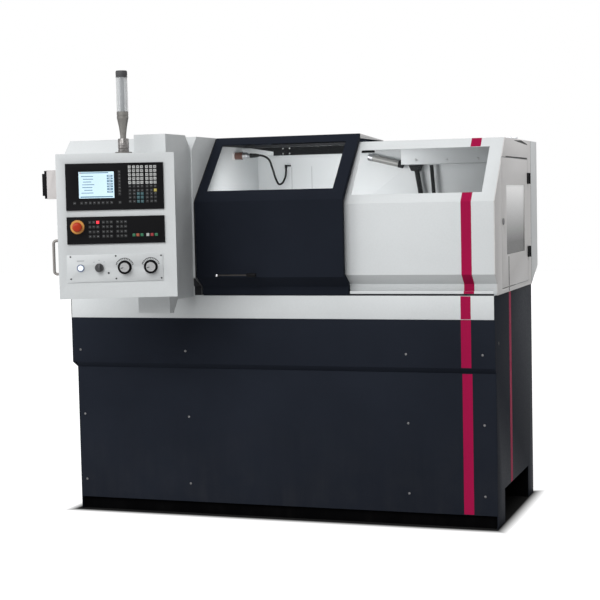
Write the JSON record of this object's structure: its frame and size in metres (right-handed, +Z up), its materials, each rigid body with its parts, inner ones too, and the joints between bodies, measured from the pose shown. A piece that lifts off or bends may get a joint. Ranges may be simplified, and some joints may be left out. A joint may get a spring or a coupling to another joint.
{
  "type": "cnc turning lathe",
  "caption": "Enclosed flat-bed turning lathe: dark base cabinet, white covers with slanted windows, sliding hood door, swung-out control box with display, keys, dials and a signal lamp.",
  "frame": {"origin": "centre of the floor anchor pattern under the base, on the floor", "axes": "+X along the spindle from headstock to tailstock, +Y to the back, +Z up"},
  "size_m": [2.0282, 1.6966, 1.993],
  "materials": {
    "paint_dark": "satin",
    "paint_white": "satin",
    "paint_end": "satin",
    "paint_black": "satin",
    "tray": "satin",
    "cast": "satin",
    "slide_paint": "satin",
    "steel": "satin",
    "chrome": "polished",
    "window": "clear",
    "end_window": "clear",
    "black_plastic": "matte",
    "screen": "gloss",
    "keys": "matte",
    "stop_red": "gloss",
    "push_white": "gloss",
    "dial_grey": "satin",
    "lamp_clear": "clear",
    "fan_metal": "satin",
    "rubber": "matte",
    "lamp_tube": "gloss",
    "plug": "matte",
    "motor": "satin"
  },
  "bodies": {
    "frame": {"base_cabinet": "paint_dark", "lower_front_panel": "paint_dark", "upper_front_panel": "paint_dark", "front_sill_panel": "paint_white", "headstock_cover": "paint_white", "right_cover": "paint_white", "rear_cabinet": "paint_white", "back_wall": "paint_white", "console": "paint_white", "right_end_panel": "paint_end", "base_frame": "paint_black", "chip_tray": "tray", "bed": "cast", "headstock": "cast", "door_rails": "steel", "right_window": "window", "end_hinge_leaves": "black_plastic", "drive_belt": "rubber", "hanging_lead": "rubber", "conduits": "rubber", "tube_lamp": "lamp_tube", "lead_fittings": "plug", "spindle_motor": "motor"},
    "door": {"sliding_door": "paint_dark", "door_window": "window", "door_handle": "chrome"},
    "end_door": {"end_door": "paint_end", "end_door_window": "end_window", "end_hinge_knuckles": "black_plastic"},
    "end_lock": {"end_door_lock": "chrome"},
    "control": {"control_box": "paint_white", "control_box_back": "paint_white", "display_panel": "black_plastic", "display_screen": "screen", "panel_keys": "keys", "operator_panel": "black_plastic", "switch_plate": "paint_white", "signal_lamp_base": "black_plastic", "signal_lamp_lens": "lamp_clear", "control_handle": "chrome", "fan_frame": "fan_metal", "fan_guard": "black_plastic"},
    "stop": {"estop_button": "stop_red"},
    "push": {"power_button": "push_white"},
    "mode": {"mode_switch": "black_plastic"},
    "dial_a": {"spindle_dial": "dial_grey"},
    "dial_b": {"feed_dial": "dial_grey"},
    "spindle": {"spindle": "steel", "chuck": "steel"},
    "jaw_a": {"jaw_1": "steel"},
    "jaw_b": {"jaw_2": "steel"},
    "jaw_c": {"jaw_3": "steel"},
    "motor": {"motor_pulley": "steel"},
    "carriage": {"carriage": "cast"},
    "cross": {"cross_slide": "slide_paint"},
    "turret": {"turret_disc": "steel"},
    "tailstock": {"tailstock": "cast"},
    "quill": {"quill": "steel"},
    "wheel": {"tailstock_wheel": "black_plastic"},
    "screw": {"z_ball_screw": "steel"}
  },
  "joints": [
    {"name": "door_slide", "type": "slide", "parent": "frame", "child": "door", "axis": [1, 0, 0], "range_m": [0, 0.63]},
    {"name": "end_door_swing", "type": "hinge", "parent": "frame", "child": "end_door", "pos_m": [1.0182, 0.335, 1.168], "axis": [0, 0, 1], "range_deg": [0, 110]},
    {"name": "end_lock_turn", "type": "hinge", "parent": "end_door", "child": "end_lock", "pos_m": [1.012, -0.273, 1.322], "axis": [1, 0, 0], "range_deg": [-90, 0]},
    {"name": "control_swing", "type": "hinge", "parent": "frame", "child": "control", "pos_m": [-0.378, -0.805, 1.24], "axis": [0, 0, 1], "range_deg": [-24, 30]},
    {"name": "stop_press", "type": "slide", "parent": "control", "child": "stop", "axis": [-0.4067, 0.9135, 0], "range_m": [0, 0.005]},
    {"name": "push_press", "type": "slide", "parent": "control", "child": "push", "axis": [-0.4067, 0.9135, 0], "range_m": [0, 0.004], "stiffness_N_per_m": 500},
    {"name": "mode_turn", "type": "hinge", "parent": "control", "child": "mode", "pos_m": [-0.5471, -1.0423, 1.169], "axis": [-0.4067, 0.9135, 0], "range_deg": [-45, 45]},
    {"name": "dial_a_turn", "type": "hinge", "parent": "control", "child": "dial_a", "pos_m": [-0.45027, -0.99918, 1.169], "axis": [-0.4067, 0.9135, 0], "range_deg": [-150, 150]},
    {"name": "dial_b_turn", "type": "hinge", "parent": "control", "child": "dial_b", "pos_m": [-0.35069, -0.95485, 1.169], "axis": [-0.4067, 0.9135, 0], "range_deg": [-150, 150]},
    {"name": "spindle_spin", "type": "hinge", "parent": "frame", "child": "spindle", "pos_m": [-0.4, -0.11, 1.185], "axis": [1, 0, 0], "continuous": true},
    {"name": "jaw_a_slide", "type": "slide", "parent": "spindle", "child": "jaw_a", "axis": [0, 0, -1], "range_m": [-0.004, 0.006]},
    {"name": "jaw_b_slide", "type": "slide", "parent": "spindle", "child": "jaw_b", "axis": [0, 0.866, 0.5], "range_m": [-0.004, 0.006]},
    {"name": "jaw_c_slide", "type": "slide", "parent": "spindle", "child": "jaw_c", "axis": [0, -0.866, 0.5], "range_m": [-0.004, 0.006]},
    {"name": "motor_spin", "type": "hinge", "parent": "frame", "child": "motor", "pos_m": [-0.79, 0.23, 0.76], "axis": [1, 0, 0], "continuous": true},
    {"name": "carriage_travel", "type": "slide", "parent": "frame", "child": "carriage", "axis": [1, 0, 0], "range_m": [-0.28, 0.05]},
    {"name": "screw_turn", "type": "hinge", "parent": "frame", "child": "screw", "pos_m": [-0.39, -0.11, 0.94], "axis": [1, 0, 0], "range_deg": [-10085, 1805]},
    {"name": "cross_travel", "type": "slide", "parent": "carriage", "child": "cross", "axis": [0, 1, 0], "range_m": [-0.1, 0.02]},
    {"name": "turret_index", "type": "hinge", "parent": "cross", "child": "turret", "pos_m": [0.29, 0.145, 1.185], "axis": [1, 0, 0], "continuous": true},
    {"name": "tailstock_travel", "type": "slide", "parent": "frame", "child": "tailstock", "axis": [1, 0, 0], "range_m": [-0.08, 0.04]},
    {"name": "wheel_turn", "type": "hinge", "parent": "tailstock", "child": "wheel", "pos_m": [0.86, -0.11, 1.185], "axis": [1, 0, 0], "range_deg": [0, 5760]},
    {"name": "quill_travel", "type": "slide", "parent": "tailstock", "child": "quill", "axis": [-1, 0, 0], "range_m": [0, 0.08]}
  ],
  "couplings": [
    {"joint": "jaw_b_slide", "follows": "jaw_a_slide", "ratio": 1},
    {"joint": "jaw_c_slide", "follows": "jaw_a_slide", "ratio": 1},
    {"joint": "motor_spin", "follows": "spindle_spin", "ratio": 1.4545},
    {"joint": "screw_turn", "follows": "carriage_travel", "rad_per_m": 628.32},
    {"joint": "quill_travel", "follows": "wheel_turn", "m_per_rad": 0.00079577}
  ]
}
